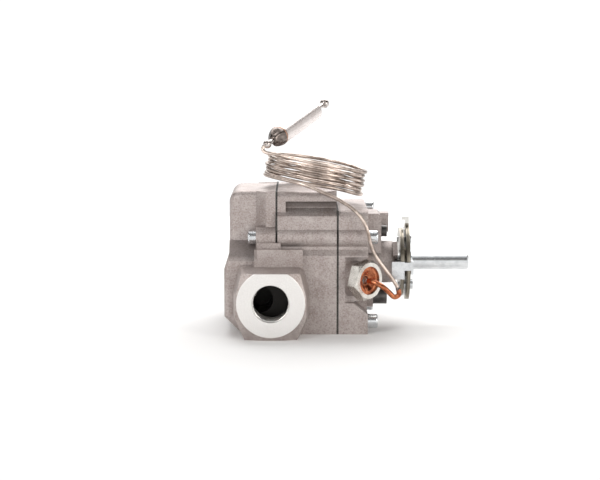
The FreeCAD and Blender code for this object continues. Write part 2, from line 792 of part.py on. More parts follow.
# Shaft and dial hardware

def shaft_parts():
    """The fixed bush with its seal, and the shaft with its adjusting thread and retaining ring."""
    bush = ring("bush", "bushing_r", "bushing_bore", "bushing_back", "stem_boss_front - bushing_back")
    groove = cylinder("bush_groove", "4.6", "2", ("43.9", "middle_y", "axis_z"), "X")
    labelled("shaft_bushing", cut("bush_cut", bush, groove))
    labelled("shaft_seal", ring("seal", "4.55", "bushing_bore", "44", "1.8"))
    rod = cylinder("shaft_rod", "shaft_r", "shaft_end - shaft_back", ("shaft_back", "middle_y", "axis_z"),
                   "X")
    journal = cylinder("shaft_journal", "journal_r", "journal_end - shaft_back",
                       ("shaft_back", "middle_y", "axis_z"), "X")
    collar = cylinder("shaft_collar", "shaft_collar_r", "1.5", ("shaft_back", "middle_y", "axis_z"), "X")
    flat = box("shaft_flat", "shaft_end - journal_end", "5", "10",
               ("journal_end", "middle_y + flat_height - shaft_r", "axis_z - 5"))
    blank = fuse("shaft_blank", [rod, journal, collar])
    doc.recompute()
    chamfer = doc.addObject("Part::Chamfer", "shaft_chamfer")
    chamfer.Base = blank
    chamfer.Edges = [(i, 0.6, 0.6) for i, e in enumerate(blank.Shape.Edges, 1)
                     if abs(e.BoundBox.XMin - size("shaft_end")) < 0.01]
    clip_groove = ring("clip_groove", "journal_r + 1", "journal_r - 0.5", "clip_x", "clip_thick")
    grooved = cut("shaft_grooved", chamfer, clip_groove)
    labelled("dial_shaft", cut("shaft_cut", grooved, flat))
    labelled("adjusting_screw", cylinder("adjuster", "thread_r - pin_gap", "shaft_back - adjuster_back",
                                         ("adjuster_back", "middle_y", "axis_z"), "X"))
    clip = ring("retainer", "5", "journal_r - 0.5", "clip_x", "clip_thick")
    mouth = box("retainer_mouth", "3", "4", "8", ("49.5", "middle_y - 2", "axis_z"))
    labelled("retaining_ring", cut("retainer_cut", clip, mouth))
    labelled("guide_pins", group("guide_pin_set", [
        cylinder(f"guide_pin_{i}", "pin_r", "14", ("23.2", y, "axis_z"), "X")
        for i, y in enumerate(PIN_PLACES)]))


CLAMP_PLACES = [("middle_y + 5", "axis_z + 8.66"), ("middle_y - 5", "axis_z - 8.66")]


def dial_parts():
    """Two plates on the shaft, the stop bracket that wraps over their rims, a pin and clamp screws."""
    tools = [cylinder(f"clamp_hole_{i}", "clamp_r", "8", ("50", y, z), "X")
             for i, (y, z) in enumerate(CLAMP_PLACES)]
    inner = ring("inner_disc", "inner_plate_r", "journal_r + turning_gap", "inner_plate_x", "plate_thick")
    pin_hole = circled("pin_hole", "stop_pin_r", "4", "50")
    labelled("inner_dial_plate", cut("inner_plate_cut", inner, fuse("inner_holes", tools + [pin_hole])))
    disc = ring("outer_disc", "outer_plate_r", "journal_r + turning_gap", "outer_plate_x", "plate_thick")
    hub = ring("outer_hub", "6", "journal_r + turning_gap", "inner_plate_x + plate_thick",
               "outer_plate_x - inner_plate_x - plate_thick + 0.5")
    tab = box("outer_tab", "plate_thick", "tab_width", "6",
              ("outer_plate_x", "middle_y - tab_width / 2", "axis_z + outer_plate_r - 2.6"))
    hook = box("outer_hook", "plate_thick + 1.3", "tab_width", "1.3",
               ("outer_plate_x - 1.3", "middle_y - tab_width / 2", "axis_z + outer_plate_r + 2.1"))
    outer = fuse("outer_join", [disc, hub, tab, hook])
    tools = [cylinder(f"clamp_way_{i}", "clamp_r", "8", ("50", y, z), "X")
             for i, (y, z) in enumerate(CLAMP_PLACES)]
    labelled("outer_dial_plate", cut("outer_plate_cut", outer, fuse("outer_holes", tools)))
    bracket_x = "outer_plate_x + plate_thick"
    arm = box("bracket_arm", "flange_thick", "middle_y - bracket_near", "5.2",
              (bracket_x, "bracket_near", "bracket_low"))
    eye = cylinder("bracket_eye", "5.6", "flange_thick", (bracket_x, "middle_y", "axis_z"), "X")
    strap = box("bracket_strap", bracket_x + " + flange_thick - bracket_back", "flange_thick", "3.2",
                ("bracket_back", "bracket_near", "bracket_low + 1.6"))
    foot = box("bracket_foot", "5.1", "flange_thick", "7",
               ("bracket_back", "bracket_near", "bracket_low - 1.9"))
    hole = cylinder("bracket_hole", "journal_r + turning_gap", "4",
                    (bracket_x + " - 1", "middle_y", "axis_z"), "X")
    labelled("stop_bracket", cut("bracket_cut", fuse("bracket_join", [arm, eye, strap, foot]), hole))
    labelled("stop_pin", circled("pin", "stop_pin_r", "inner_plate_x + plate_thick - 50.5", "50.5"))
    clamps = []
    for i, (y, z) in enumerate(CLAMP_PLACES):
        head = cylinder(f"clamp_{i}_head", "clamp_head_r", "1.5", (bracket_x, y, z), "X")
        shank = cylinder(f"clamp_{i}_shank", "clamp_r", "4.5", (bracket_x + " - 4.5", y, z), "X")
        slot = box(f"clamp_{i}_slot", "1", "0.6", "6", (bracket_x + " + 0.8", f"{y} - 0.3", f"{z} - 3"))
        clamps.append(cut(f"clamp_{i}", fuse(f"clamp_{i}_join", [head, shank]), slot))
    labelled("dial_clamp_screws", group("clamp_set", clamps))


def circled(name, radius, length, start):
    """A pin parallel to the shaft at the stop pin's place on its circle."""
    angle = math.radians(size("stop_pin_angle"))
    y = f"middle_y + stop_pin_circle * {math.cos(angle)}"
    z = f"axis_z + stop_pin_circle * {math.sin(angle)}"
    return cylinder(name, radius, length, (start, y, z), "X")


# Adjusters on the cover

def adjusters():
    """The bypass screw with its seal, and the pilot screw under its cap."""
    shank = cylinder("bypass_shank", "bypass_r", "12", ("adjuster_root", "bypass_y", "bypass_z"), "X")
    head = cylinder("bypass_head", "seal_r", "2.2", ("44.4", "bypass_y", "bypass_z"), "X")
    slot = box("bypass_slot", "1.2", "0.8", "6", ("45.6", "bypass_y - 0.4", "bypass_z - 3"))
    labelled("bypass_screw", cut("bypass_cut", fuse("bypass_join", [shank, head]), slot))
    labelled("bypass_seal", ring("bypass_ring", "seal_r", "bypass_r + running_gap", "42.3", "1.6",
                                 ("bypass_y", "bypass_z")))
    shank = cylinder("pilot_shank", "bypass_r", "9", ("adjuster_root", "middle_y", "pilot_z"), "X")
    head = cylinder("pilot_head", "2.1", "2", ("41.6", "middle_y", "pilot_z"), "X")
    slot = box("pilot_slot", "1", "0.7", "6", ("42.8", "middle_y - 0.35", "pilot_z - 3"))
    labelled("pilot_screw", cut("pilot_cut", fuse("pilot_join", [shank, head]), slot))
    cap = cylinder("cap_outer", "cap_r", "5.7", ("cap_seat", "middle_y", "pilot_z"), "X")
    hollow = cylinder("cap_inner", "cap_bore", "4.6", ("cap_seat - 1", "middle_y", "pilot_z"), "X")
    cross = box("cap_slot", "1", "1", "8", ("46.2", "middle_y - 0.5", "pilot_z - 4"))
    labelled("pilot_cap", cut("cap_cut", cap, fuse("cap_tools", [hollow, cross])))


# Gland, capillary and bulb

def gland():
    """The hex nut on the angled collar, the copper cup in its mouth and the capillary's way through."""
    height = "(gland_face - gland_collar) / 2 ^ 0.5"
    prism = doc.addObject("Part::Prism", "nut_prism")
    prism.Polygon = 6
    bind(prism, Circumradius="nut_flats / 3 ^ 0.5", Height=height)
    place(prism, gland_point("gland_collar", "gland_z"), "nut")
    crown = cone("nut_crown", "nut_flats / 2 + 5.2", "nut_flats / 2", height,
                 gland_point("gland_collar", "gland_z"), "gland")
    turned = doc.addObject("Part::Common", "nut_turned")
    turned.Base = prism
    turned.Tool = crown
    tail = cylinder("nut_tail", "gland_thread_r - 0.02", "4.4", gland_point("gland_collar", "gland_z"),
                    "gland_in")
    mouth = cylinder("nut_mouth", "nut_bore", "3.6", gland_point("gland_face + 0.8", "gland_z"),
                     "gland_in")
    bore = cylinder("nut_way", "2.4", "14", gland_point("gland_face", "gland_z"), "gland_in")
    tools = fuse("nut_tools", [mouth, bore])
    labelled("gland_nut", cut("nut_cut", fuse("nut_join", [turned, tail]), tools))
    dish = cone("cup_outer", "2.6", "nut_bore - running_gap", "2.4", gland_point("cup_deep", "gland_z"),
                "gland")
    inside = cone("cup_inner", "2.1", "nut_bore - 0.6", "2.4", gland_point("cup_deep + 1.1", "gland_z"),
                  "gland")
    way = cylinder("cup_way", "sleeve_r", "6", gland_point("cup_deep - 2", "gland_z"), "gland")
    labelled("copper_cup", cut("cup_cut", dish, fuse("cup_tools", [inside, way])))


# Hand-laid routes: the sleeve's bent end, the lead up to the coil and the tail up to the bulb
SLEEVE_ROUTE = [
    (36.9, 13.1, 7.5), (40.4, 9.6, 7.3), (44.4, 8.5, 5.2), (46.7, 8.4, 2.9), (48.4, 8.4, 1.2),
    (50.4, 8.4, 2.2), (50.0, 8.4, 4.6),
]
INNER_ROUTE = [(31.6, 18.4, 7.5), (29.2, 21.4, 7.5), (29.2, 26.55, 7.5)]
LEAD_ROUTE = [
    (50.0, 8.4, 4.6), (48.2, 8.6, 7.9), (45.0, 9.0, 12.2), (41.0, 9.6, 17.4), (38.9, 10.5, 22.4),
    (38.1, 11.4, 27.4), (35.9, 12.2, 32.0), (32.0, 12.9, 36.0), (26.8, 13.4, 39.3),
    (20.4, 14.1, 42.2), (13.6, 15.6, 44.9), (7.6, 18.6, 46.3), (3.2, 22.9, 46.8),
]
TAIL_ROUTE = [
    (3.6, 23.4, 55.9), (0.6, 23.5, 56.7), (-2.4, 23.9, 56.9), (-3.9, 24.6, 58.6), (-2.4, 25.0, 60.2),
]


def tube(name, radius, route):
    """A round tube along straight runs joined by tangent arcs, as large as their runs allow."""
    points = [Vector(*p) for p in route]
    edges, radii, start = [], [], points[0]
    for before, corner, after in zip(points, points[1:], points[2:]):
        incoming = (corner - before).normalize()
        outgoing = (after - corner).normalize()
        reach = 0.45 * min((corner - before).Length, (after - corner).Length)
        half_turn = incoming.getAngle(outgoing) / 2
        bend = reach / math.tan(half_turn)
        inward = (outgoing - incoming).normalize()
        middle = corner + inward * (bend / math.cos(half_turn) - bend)
        first, last = corner - incoming * reach, corner + outgoing * reach
        edges += [Part.LineSegment(start, first).toShape(), Part.Arc(first, middle, last).toShape()]
        radii.append(round(bend, 1))
        start = last
    edges.append(Part.LineSegment(start, points[-1]).toShape())
    path = Part.Wire(edges)
    section = Part.Wire([Part.makeCircle(radius, points[0], points[1] - points[0])])
    solid = path.makePipeShell([section], True, False)
    expected = math.pi * radius ** 2 * path.Length
    print(name, "bend radii", radii, "length", round(path.Length, 1),
          "volume ratio", round(solid.Volume / expected, 4))
    thing = doc.addObject("Part::Feature", name + "_tube")
    thing.Shape = solid
    return labelled(name, thing)


def capillary():
    """The capillary's tubes, and a ring that stands for its wound turns."""
    tube("copper_sleeve", size("sleeve_r"), SLEEVE_ROUTE)
    tube("capsule_lead", size("capillary_r"), INNER_ROUTE)
    tube("capillary_lead", size("capillary_r"), LEAD_ROUTE)
    tube("capillary_tail", size("capillary_r"), TAIL_ROUTE)
    half = size("coil_band") / 2
    height = size("coil_height")
    low = Vector(0, 0, -height / 2)
    outer = Part.makeCylinder(size("coil_r") + half, height, low)
    inner = Part.makeCylinder(size("coil_r") - half, height, low)
    coil = doc.addObject("Part::Feature", "coil_ring")
    coil.Shape = outer.cut(inner)
    coil.Placement = FreeCAD.Placement(
        Vector(size("coil_x"), size("middle_y"), size("coil_z")),
        FreeCAD.Rotation(Vector(0, 1, 0), size("coil_tilt")))
    labelled("capillary_coil", coil)


BULB_START = Vector(-1.6, 25.2, 60.3)
BULB_AXIS = Vector(24, 55, 14).normalize()


def along_bulb(name, shape, distance):
    """A turned piece of the bulb, at a distance along its axis from the inlet bead."""
    thing = doc.addObject("Part::Feature", name + "_turned")
    thing.Shape = shape
    thing.Placement = FreeCAD.Placement(
        BULB_START + BULB_AXIS * distance, FreeCAD.Rotation(Vector(0, 0, 1), BULB_AXIS))
    return labelled(name, thing)


def bulb():
    """The sensing bulb: brazed inlet bead, crimped shoulder, plain tube and closed tip."""
    radius, length, neck = size("bulb_r"), size("bulb_length"), size("neck_r")
    foot, cone_length = size("shoulder_at"), size("cone_length")
    shell_at = foot + size("shoulder_length")
    bead = Part.makeSphere(size("bead_r")).fuse(Part.makeCylinder(neck, foot))
    along_bulb("bulb_bead", bead.removeSplitter(), 0)
    rim = Part.makeCylinder(radius, shell_at - foot - cone_length, Vector(0, 0, cone_length))
    along_bulb("bulb_shoulder", Part.makeCone(1.5, radius, cone_length).fuse(rim).removeSplitter(), foot)
    shell = Part.makeCylinder(radius, length)
    edge = [e for e in shell.Edges if e.BoundBox.ZMin > length - 0.1]
    along_bulb("bulb_shell", shell.makeFillet(2.2, edge), shell_at)
    ball = Part.makeSphere(size("tip_r"), Vector(0, 0, size("tip_reach")))
    tip = Part.makeCylinder(neck, size("tip_reach")).fuse(ball)
    along_bulb("bulb_tip", tip.removeSplitter(), shell_at + length)


def build():
    """Makes every piece, checks it and writes it to its own STEP file."""
    fill_sheet()
    for step in (manifold, housing, cover, gaskets, screws, seat_and_guide, valve, spring, capsule,
                 shaft_parts, dial_parts, adjusters, gland, capillary, bulb):
        step()
    doc.recompute()
    for thing in doc.Objects:
        assert not {"Invalid", "Error"} & set(thing.State), thing.Name
    os.makedirs("parts", exist_ok=True)
    for piece in PIECES:
        shape = piece.Shape
        assert not shape.isNull() and shape.isValid() and shape.Solids, piece.Label
        shape.exportStep(f"parts/{piece.Label}.step")
        print(f"{piece.Label:20} {len(shape.Solids)} solid(s) {shape.Volume:10.1f} mm3")


build()
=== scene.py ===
import json
import math

import bmesh
import bpy
from mathutils import Matrix, Vector


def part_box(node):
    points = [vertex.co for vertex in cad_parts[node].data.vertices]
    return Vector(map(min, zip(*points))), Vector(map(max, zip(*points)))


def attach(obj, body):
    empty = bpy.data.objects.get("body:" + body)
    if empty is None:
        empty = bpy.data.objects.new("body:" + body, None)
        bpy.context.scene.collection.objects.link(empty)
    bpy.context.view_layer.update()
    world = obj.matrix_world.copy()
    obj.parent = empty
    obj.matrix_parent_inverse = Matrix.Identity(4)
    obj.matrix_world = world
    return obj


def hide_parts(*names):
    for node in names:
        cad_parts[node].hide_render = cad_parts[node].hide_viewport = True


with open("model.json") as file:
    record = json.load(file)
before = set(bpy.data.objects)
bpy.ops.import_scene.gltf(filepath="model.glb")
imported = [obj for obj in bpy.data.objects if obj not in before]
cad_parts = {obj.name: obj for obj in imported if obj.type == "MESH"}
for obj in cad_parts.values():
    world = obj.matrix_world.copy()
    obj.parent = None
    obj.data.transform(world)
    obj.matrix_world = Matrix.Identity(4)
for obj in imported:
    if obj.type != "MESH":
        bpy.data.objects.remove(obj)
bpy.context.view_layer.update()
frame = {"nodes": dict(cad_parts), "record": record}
nodes = frame["nodes"]

MM = 0.001
BODY = "valve_body"


def mm(*numbers):
    return Vector(numbers) * MM


# Shader nodes, for the sky and for every material

def connect(tree, value, socket):
    """Link another node's output to a socket, or set the socket to a plain value."""
    if isinstance(value, bpy.types.NodeSocket):
        tree.links.new(value, socket)
    else:
        socket.default_value = value


def math_node(tree, operation, *values):
    made = tree.nodes.new("ShaderNodeMath")
    made.operation = operation
    for value, socket in zip(values, made.inputs):
        connect(tree, value, socket)
    return made.outputs[0]


def ramp_node(tree, value, stops):
    """Colours or greys at positions along a value."""
    made = tree.nodes.new("ShaderNodeValToRGB")
    connect(tree, value, made.inputs[0])
    elements = made.color_ramp.elements
    while len(elements) < len(stops):
        elements.new(0.5)
    for element, (position, colour) in zip(elements, stops):
        element.position = position
        grey = isinstance(colour, (int, float))
        element.color = (colour, colour, colour, 1) if grey else (*colour, 1)
    return made.outputs[0]


def mix_node(tree, share, a, b, blend="MIX"):
    """Colour a with a share of colour b over it."""
    made = tree.nodes.new("ShaderNodeMix")
    made.data_type = "RGBA"
    made.blend_type = blend
    connect(tree, share, made.inputs["Factor"])
    for value, socket in ((a, made.inputs[6]), (b, made.inputs[7])):
        linked = isinstance(value, bpy.types.NodeSocket)
        connect(tree, value if linked else (*value, 1), socket)
    return made.outputs[2]


# Camera, floor and light

TARGET = mm(11.4, 39, 20)
DISTANCE = 0.65
PITCH = math.radians(7.5)
LENS, SENSOR = 95.1, 36
CLIP_START, CLIP_END = 0.01, 20
FLOOR_REACH = 0.42
SKY_STRENGTH = 1.1


def camera():
    data = bpy.data.cameras.new("camera")
    data.lens = LENS
    data.sensor_width = SENSOR
    data.clip_start = CLIP_START
    data.clip_end = CLIP_END
    eye = bpy.data.objects.new("camera", data)
    bpy.context.scene.collection.objects.link(eye)
    eye.location = TARGET + Vector((0, -math.cos(PITCH), math.sin(PITCH))) * DISTANCE
    eye.rotation_euler = (TARGET - eye.location).to_track_quat("-Z", "Y").to_euler()
    bpy.context.scene.camera = eye


def area_light(name, place, size, watts, colour=(1, 1, 1)):
    """A soft box that faces the camera's target; place is in metres from it."""
    data = bpy.data.lights.new(name, "AREA")
    data.shape = "RECTANGLE"
    data.size, data.size_y = size
    data.energy = watts
    data.color = colour
    lamp = bpy.data.objects.new(name, data)
    bpy.context.scene.collection.objects.link(lamp)
    lamp.location = TARGET + Vector(place)
    lamp.rotation_euler = (Vector() - Vector(place)).to_track_quat("-Z", "Y").to_euler()


def floor():
    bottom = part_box("rear_body")[0].z
    corners = [(x * FLOOR_REACH, y * FLOOR_REACH, bottom)
               for x, y in ((-1, -1), (1, -1), (1, 1), (-1, 1))]
    mesh = bpy.data.meshes.new("floor")
    mesh.from_pydata(corners, [], [(0, 1, 2, 3)])
    sheet = bpy.data.objects.new("floor", mesh)
    bpy.context.scene.collection.objects.link(sheet)
    paper = bpy.data.materials.new("paper")
    paper.use_nodes = True
    shader = paper.node_tree.nodes["Principled BSDF"]
    shader.inputs["Base Color"].default_value = (0.86, 0.855, 0.85, 1)
    shader.inputs["Roughness"].default_value = 0.9
    shader.inputs["Specular IOR Level"].default_value = 0.1
    mesh.materials.append(paper)


def sky():
    """A pale horizon under a dim ceiling, with dim corners, so bright metal has dark things to
    show."""
    world = bpy.data.worlds.new("studio")
    world.use_nodes = True
    bpy.context.scene.world = world
    tree = world.node_tree
    away = tree.nodes.new("ShaderNodeTexCoord")
    split = tree.nodes.new("ShaderNodeSeparateXYZ")
    tree.links.new(away.outputs["Generated"], split.inputs[0])
    across, up = split.outputs["X"], split.outputs["Z"]
    white, corner = (1.0, 1.0, 1.0), (0.16, 0.145, 0.135)
    height = ramp_node(tree, up, [
        (0.36, white), (0.5, (0.2, 0.185, 0.175)), (0.88, (0.2, 0.2, 0.2)), (0.97, (0.7, 0.7, 0.7)),
    ])
    sides = ramp_node(tree, math_node(tree, "ABSOLUTE", across), [
        (0.36, white), (0.48, corner), (0.72, corner), (0.86, white),
    ])
    ground = math_node(tree, "LESS_THAN", up, 0.02)
    walls = mix_node(tree, ground, sides, white)
    background = tree.nodes["Background"]
    connect(tree, mix_node(tree, 1.0, height, walls, "MULTIPLY"), background.inputs["Color"])
    background.inputs["Strength"].default_value = SKY_STRENGTH


def studio():
    floor()
    sky()
    bpy.context.scene.view_settings.view_transform = "Standard"
    area_light("top", (0.0, 0.45, 0.72), (1.1, 0.6), 7.5)
    area_light("front_left", (-0.55, -0.75, 0.42), (0.25, 0.5), 3.3)
    area_light("front_right", (0.6, -0.6, 0.3), (0.2, 0.55), 2.8, (1.0, 0.98, 0.95))
    area_light("back", (0.1, 0.8, 0.5), (0.8, 0.4), 2.5)


# The capillary: listed points, in millimetres, repeated from the model's own route

LEAD = [
    (50.0, 8.4, 4.6), (48.2, 8.6, 7.9), (45.0, 9.0, 12.2), (41.0, 9.6, 17.4), (38.9, 10.5, 22.4),
    (38.1, 11.4, 27.4), (35.9, 12.2, 32.0), (32.0, 12.9, 36.0), (26.8, 13.4, 39.3),
    (20.4, 14.1, 42.2), (13.6, 15.6, 44.9), (7.6, 18.6, 46.2), (3.4, 22.7, 46.7),
]
TAIL = [
    (3.6, 23.4, 55.9), (0.6, 23.5, 56.7), (-2.4, 23.9, 56.9), (-3.9, 24.6, 58.6),
    (-2.4, 25.0, 60.2),
]
COIL_CENTRE = Vector((17.6, 39.0, 48.1))
COIL_TILT = math.radians(9.6)
COIL_RADIUS = 20.0
COIL_HEIGHT = 10.3
COIL_TURNS = 5.95
COIL_START = math.radians(212)
POINTS_PER_TURN = 16
CAPILLARY = 1.4


def coil_points():
    """The coil's turns, clockwise from above. It leans, droops past the housing's edge on the
    right, and its lowest turn is lifted a little where it crosses that edge."""
    edge, overhang = 7, 13
    crossing, crossing_width = 8, 5
    count = int(COIL_TURNS * POINTS_PER_TURN)
    points = []
    for i in range(1, count):
        turn = i / count * COIL_TURNS
        level = i / count - 0.5
        angle = COIL_START - turn * math.tau
        radius = COIL_RADIUS + 0.4 * math.sin(2.4 * turn + 0.6) + 0.15 * math.sin(7.1 * turn)
        across = radius * math.cos(angle)
        rise = level * COIL_HEIGHT + 0.1 * math.sin(3.3 * turn)
        droop = (1.5 - 0.9 * level) * max(0, (across - edge) / overhang) ** 1.5
        lowest = min(1, max(0, (-level - 0.3) / 0.13))
        lift = 0.6 * lowest * math.exp(-((across - crossing) / crossing_width) ** 2)
        start = max(0, 1 - turn / 0.3) ** 2
        points.append((
            COIL_CENTRE.x + across * math.cos(COIL_TILT) + rise * math.sin(COIL_TILT),
            COIL_CENTRE.y + radius * math.sin(angle),
            COIL_CENTRE.z - across * math.sin(COIL_TILT) + rise * math.cos(COIL_TILT)
            - droop + lift + start,
        ))
    return points


def curve_length(curve):
    mesh = bpy.data.meshes.new_from_object(curve)
    points = [v.co.copy() for v in mesh.vertices]
    bpy.data.meshes.remove(mesh)
    return sum((b - a).length for a, b in zip(points, points[1:]))


def capillary(material, fittings):
    data = bpy.data.curves.new("capillary", "CURVE")
    data.dimensions = "3D"
    data.resolution_u = 6
    points = LEAD + coil_points() + TAIL
    spline = data.splines.new("NURBS")
    spline.points.add(len(points) - 1)
    for control, point in zip(spline.points, points):
        control.co = (*(Vector(point) * MM), 1)
    spline.order_u = 3
    spline.use_endpoint_u = True
    curve = bpy.data.objects.new("capillary", data)
    bpy.context.scene.collection.objects.link(curve)
    bpy.context.view_layer.update()
    length = curve_length(curve)
    data.bevel_depth = CAPILLARY / 2 * MM
    data.bevel_resolution = 4
    data.use_fill_caps = True
    data.materials.append(material)
    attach(curve, BODY)
    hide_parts("capillary_lead", "capillary_coil", "capillary_tail")


# Materials: every texture is laid in the object's own metres

class Paint:
    """One procedural material: a Principled shader and the nodes that feed it."""

    def __init__(self, name, roughness=0.4, metallic=1.0):
        self.material = bpy.data.materials.new(name)
        self.material.use_nodes = True
        self.tree = self.material.node_tree
        self.shader = self.tree.nodes["Principled BSDF"]
        self.shader.inputs["Roughness"].default_value = roughness
        self.shader.inputs["Metallic"].default_value = metallic
        self.place = self.tree.nodes.new("ShaderNodeTexCoord").outputs["Object"]
        self.normal = None

    def link(self, value, socket):
        connect(self.tree, value, socket)

    def math(self, operation, *values):
        return math_node(self.tree, operation, *values)

    def ramp(self, value, *stops):
        return ramp_node(self.tree, value, stops)

    def mix(self, share, a, b):
        return mix_node(self.tree, share, a, b)

    def axes(self):
        """The object's own x, y and z, in metres."""
        split = self.tree.nodes.new("ShaderNodeSeparateXYZ")
        self.link(self.place, split.inputs[0])
        return split.outputs

    def size(self, value):
        return self.math("ABSOLUTE", value)

    def below(self, value, limit):
        return self.math("LESS_THAN", value, limit)

    def above(self, value, limit):
        return self.math("GREATER_THAN", value, limit)

    def both(self, mask, *others):
        for other in others:
            mask = self.math("MULTIPLY", mask, other)
        return mask

    def either(self, mask, other):
        return self.math("MAXIMUM", mask, other)

    def climb(self, value, foot, rise):
        """0 at a foot and 1 at a rise above it, both in millimetres."""
        return self.math("MULTIPLY_ADD", value, 1 / (rise * MM), -foot / rise)

    def stretch(self, factors):
        """The object's coordinates, scaled by a factor on each axis."""
        made = self.tree.nodes.new("ShaderNodeMapping")
        self.link(self.place, made.inputs["Vector"])
        made.inputs["Scale"].default_value = factors
        return made.outputs[0]

    def noise(self, grain, detail=2.0, rough=0.5, where=None):
        """Noise whose features are about grain metres across."""
        made = self.tree.nodes.new("ShaderNodeTexNoise")
        self.link(where or self.place, made.inputs["Vector"])
        made.inputs["Scale"].default_value = 1 / grain
        made.inputs["Detail"].default_value = detail
        made.inputs["Roughness"].default_value = rough
        return made.outputs["Fac"]

    def colour(self, value):
        self.link(value, self.shader.inputs["Base Color"])

    def roughness(self, value):
        self.link(value, self.shader.inputs["Roughness"])

    def bump(self, height, depth, strength=1.0):
        """Height runs 0 to 1 over depth metres; a second bump lies on the first."""
        made = self.tree.nodes.new("ShaderNodeBump")
        made.inputs["Strength"].default_value = strength
        made.inputs["Distance"].default_value = depth
        self.link(height, made.inputs["Height"])
        if self.normal:
            self.link(self.normal, made.inputs["Normal"])
        self.normal = made.outputs[0]
        self.link(self.normal, self.shader.inputs["Normal"])


PIPE_LENGTH = 78
PIPE = PIPE_LENGTH * MM
BORE = 7.4 * MM
TOOL_MARK = 0.45 * MM
MOUTH_SKIN = 0.1 * MM
BORE_SKIN = 0.05 * MM
INSIDE_HALF = 27.1 * MM
PASSAGE_X, PASSAGE_Z = 10.2 * MM, 5.6 * MM
UNDERCUT_HALF = 24.9 * MM
UNDERCUT_BACK, UNDERCUT_FRONT = 5.7 * MM, 27.5 * MM
UNDERCUT_FOOT, UNDERCUT_RISE = 32.4, 6
LEDGE_HALF = 17.5 * MM
LEDGE_FRONT = -5.5 * MM
LEDGE_FOOT, LEDGE_RISE = 15.5, 8


def cast_paint():
    """Grey aluminium casting, with turned faces at both pipe mouths. Shade is painted in by place
    on the casting: painted shade in the undercut and on the bulge's ledge, and near-black painted
    shade deep in the bore and its passages."""
    paint = Paint("cast_metal", 0.5, 0.75)
    x, y, z = paint.axes()
    radius = paint.math("SQRT", paint.math("ADD", paint.math("MULTIPLY", x, x),
                                           paint.math("MULTIPLY", z, z)))
    sideways = paint.size(paint.math("SUBTRACT", y, PIPE / 2))
    mouths = paint.either(paint.below(y, MOUTH_SKIN), paint.above(y, PIPE - MOUTH_SKIN))
    bore = paint.below(radius, BORE + BORE_SKIN)

    mottle = paint.noise(0.007, 3, 0.6)
    speck = paint.noise(0.00055, 2, 0.7)
    skin = paint.ramp(mottle, (0.3, (0.345, 0.29, 0.27)), (0.7, (0.465, 0.413, 0.395)))
    skin = paint.mix(paint.ramp(speck, (0.5, 0.0), (0.68, 0.5)), skin, (0.62, 0.57, 0.55))
    skin = paint.mix(paint.ramp(speck, (0.32, 0.55), (0.46, 0.0)), skin, (0.17, 0.135, 0.125))

    # Painted shade: the roof of the undercut is darkened by height, standing in for the shadow
    # under the overhang.
    undercut = paint.both(paint.below(sideways, UNDERCUT_HALF), paint.above(x, UNDERCUT_BACK),
                          paint.below(x, UNDERCUT_FRONT))
    undercut_shade = paint.ramp(paint.climb(z, UNDERCUT_FOOT, UNDERCUT_RISE), (0.0, 0.0), (0.12, 0.1),
                       (0.48, 0.25), (0.62, 0.7), (0.965, 0.8), (0.98, 0.0))
    skin = paint.mix(paint.both(undercut, undercut_shade), skin, (0.045, 0.034, 0.029))

    # Painted shade: the bulge's sloping ledge, lit from above, is painted darker.
    shade = paint.ramp(paint.climb(z, LEDGE_FOOT, LEDGE_RISE), (0.0, 0.0), (0.15, 0.5),
                       (0.82, 0.5), (0.88, 0.0))
    ledge = paint.both(paint.below(x, LEDGE_FRONT), paint.above(sideways, LEDGE_HALF), shade)
    skin = paint.mix(ledge, skin, (0.17, 0.142, 0.134))

    polish = paint.noise(0.0004, 2, 0.5, paint.stretch((1, 0.2, 1)))
    bright = paint.ramp(polish, (0.3, (0.72, 0.70, 0.68)), (0.7, (0.86, 0.84, 0.82)))
    skin = paint.mix(mouths, skin, bright)
    skin = paint.mix(bore, skin, (0.72, 0.70, 0.68))
    # Painted shade: the deeper bore and the passages are painted near-black, standing in for the
    # dark where no light reaches.
    passage = paint.both(paint.below(paint.size(x), PASSAGE_X),
                         paint.below(paint.size(z), PASSAGE_Z))
    inside = paint.both(paint.below(sideways, INSIDE_HALF), paint.either(bore, passage))
    paint.colour(paint.mix(inside, skin, (0.008, 0.007, 0.006)))

    rough = paint.mix(mouths, paint.ramp(speck, (0.3, 0.42), (0.7, 0.62)), (0.42,) * 3)
    paint.roughness(paint.mix(bore, rough, (0.28,) * 3))
    paint.bump(paint.noise(0.0005, 3, 0.65), 0.00011, 0.85)
    paint.bump(paint.noise(0.0024, 2), 0.00014, 0.6)
    rings = paint.math("SINE", paint.math("MULTIPLY", radius, math.tau / TOOL_MARK))
    paint.bump(paint.both(rings, mouths), 0.000012, 0.5)
    return paint.material


def metal_paint(name, light, dark, rough=(0.2, 0.35), grain=0.003, brush=None, fine=0.0003,
                depth=0.00001, streak=None, metallic=1.0, pale_above=None):
    """Bare or plated metal: two tints in soft patches, uneven polish and fine marks. Streak draws
    the patches out and brush the marks. Above the height pale_above it is bright."""
    paint = Paint(name, metallic=metallic)
    patches = paint.noise(grain, 3, 0.6, paint.stretch(streak) if streak else None)
    tint = paint.ramp(patches, (0.32, dark), (0.62, light))
    if pale_above:
        high = paint.above(paint.axes()["Z"], pale_above)
        tint = paint.mix(high, tint, (0.72, 0.71, 0.68))
    paint.colour(tint)
    marks = paint.noise(fine, 2, 0.5, paint.stretch(brush) if brush else None)
    paint.roughness(paint.ramp(marks, (0.3, rough[0]), (0.7, rough[1])))
    paint.bump(marks, depth, 0.6)
    return paint.material


def dull_paint(name, light, dark, rough=0.7, grain=0.001, depth=0.00005):
    """Fibre, rubber and other stuff that isn't metal."""
    paint = Paint(name, rough, 0.0)
    grains = paint.noise(grain, 3, 0.6)
    paint.colour(paint.ramp(grains, (0.3, dark), (0.7, light)))
    paint.bump(grains, depth, 0.5)
    return paint.material


# The bulb's ends are polished beads, whatever their slot
BEADS = {"bulb_bead": "bead", "bulb_tip": "bead"}
BRACKET_TAB = 27.2 * MM


